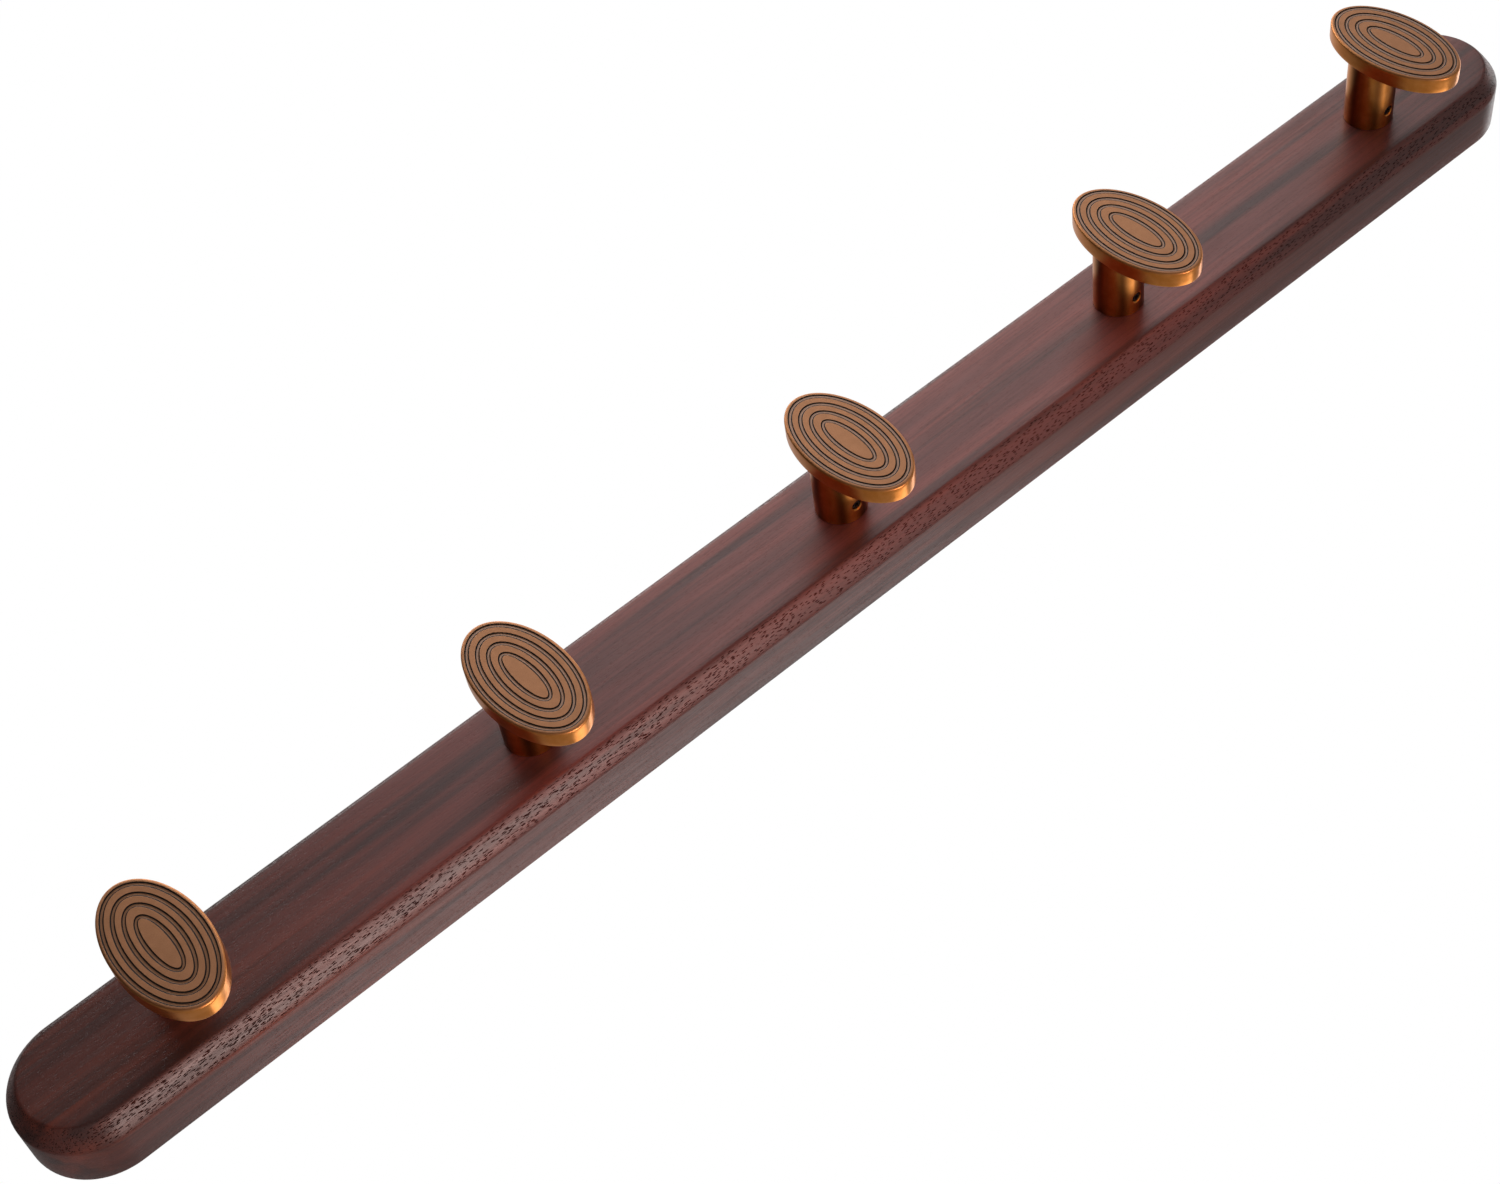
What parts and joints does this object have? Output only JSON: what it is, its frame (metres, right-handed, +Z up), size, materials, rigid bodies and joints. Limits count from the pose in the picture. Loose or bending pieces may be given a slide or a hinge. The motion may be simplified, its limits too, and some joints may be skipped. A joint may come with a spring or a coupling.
{
  "type": "coat rack",
  "caption": "Wall-mounted coat rack: a dark hardwood rail with half-round ends and a row of oval, ring-grooved bronze knobs on round posts.",
  "frame": {"origin": "centre of the rail's flat back face, which lies against the wall", "axes": "+X along the rail to the right as seen by someone who faces the wall, +Y into the wall, +Z up"},
  "size_m": [0.61, 0.058, 0.0555],
  "materials": {
    "walnut": "oiled dark reddish-brown walnut with open pores, satin",
    "antique_bronze": "brushed antique bronze, darker in the grooves, coppery on worn edges",
    "black_steel": "black oxide",
    "stud_brass": "turned, as machined",
    "zinc_steel": "zinc plated"
  },
  "bodies": {
    "wall_side": {"rail": "walnut", "stud_1": "stud_brass", "stud_2": "stud_brass", "stud_3": "stud_brass", "stud_4": "stud_brass", "stud_5": "stud_brass", "stud_screw_1": "zinc_steel", "stud_screw_2": "zinc_steel", "stud_screw_3": "zinc_steel", "stud_screw_4": "zinc_steel", "stud_screw_5": "zinc_steel", "hanger_left": "zinc_steel", "hanger_right": "zinc_steel", "hanger_screw_left_top": "zinc_steel", "hanger_screw_left_bottom": "zinc_steel", "hanger_screw_right_top": "zinc_steel", "hanger_screw_right_bottom": "zinc_steel"},
    "knob_1": {"oval_head_1": "antique_bronze", "post_1": "antique_bronze"},
    "grub_1": {"grub_screw_1": "black_steel"},
    "knob_2": {"oval_head_2": "antique_bronze", "post_2": "antique_bronze"},
    "grub_2": {"grub_screw_2": "black_steel"},
    "knob_3": {"oval_head_3": "antique_bronze", "post_3": "antique_bronze"},
    "grub_3": {"grub_screw_3": "black_steel"},
    "knob_4": {"oval_head_4": "antique_bronze", "post_4": "antique_bronze"},
    "grub_4": {"grub_screw_4": "black_steel"},
    "knob_5": {"oval_head_5": "antique_bronze", "post_5": "antique_bronze"},
    "grub_5": {"grub_screw_5": "black_steel"}
  },
  "joints": [
    {"name": "knob_1_pull_off", "type": "slide", "parent": "wall_side", "child": "knob_1", "axis": [0, -1, 0], "range_m": [0, 0.018]},
    {"name": "knob_2_pull_off", "type": "slide", "parent": "wall_side", "child": "knob_2", "axis": [0, -1, 0], "range_m": [0, 0.018]},
    {"name": "knob_3_pull_off", "type": "slide", "parent": "wall_side", "child": "knob_3", "axis": [0, -1, 0], "range_m": [0, 0.018]},
    {"name": "knob_4_pull_off", "type": "slide", "parent": "wall_side", "child": "knob_4", "axis": [0, -1, 0], "range_m": [0, 0.018]},
    {"name": "knob_5_pull_off", "type": "slide", "parent": "wall_side", "child": "knob_5", "axis": [0, -1, 0], "range_m": [0, 0.018]},
    {"name": "grub_screw_1_turn", "type": "hinge", "parent": "knob_1", "child": "grub_1", "pos_m": [-0.248, -0.0285, -0.0067], "axis": [0, 0, -1], "range_deg": [0, 720]},
    {"name": "grub_screw_2_turn", "type": "hinge", "parent": "knob_2", "child": "grub_2", "pos_m": [-0.124, -0.0285, -0.0067], "axis": [0, 0, -1], "range_deg": [0, 720]},
    {"name": "grub_screw_3_turn", "type": "hinge", "parent": "knob_3", "child": "grub_3", "pos_m": [0, -0.0285, -0.0067], "axis": [0, 0, -1], "range_deg": [0, 720]},
    {"name": "grub_screw_4_turn", "type": "hinge", "parent": "knob_4", "child": "grub_4", "pos_m": [0.124, -0.0285, -0.0067], "axis": [0, 0, -1], "range_deg": [0, 720]},
    {"name": "grub_screw_5_turn", "type": "hinge", "parent": "knob_5", "child": "grub_5", "pos_m": [0.248, -0.0285, -0.0067], "axis": [0, 0, -1], "range_deg": [0, 720]}
  ]
}
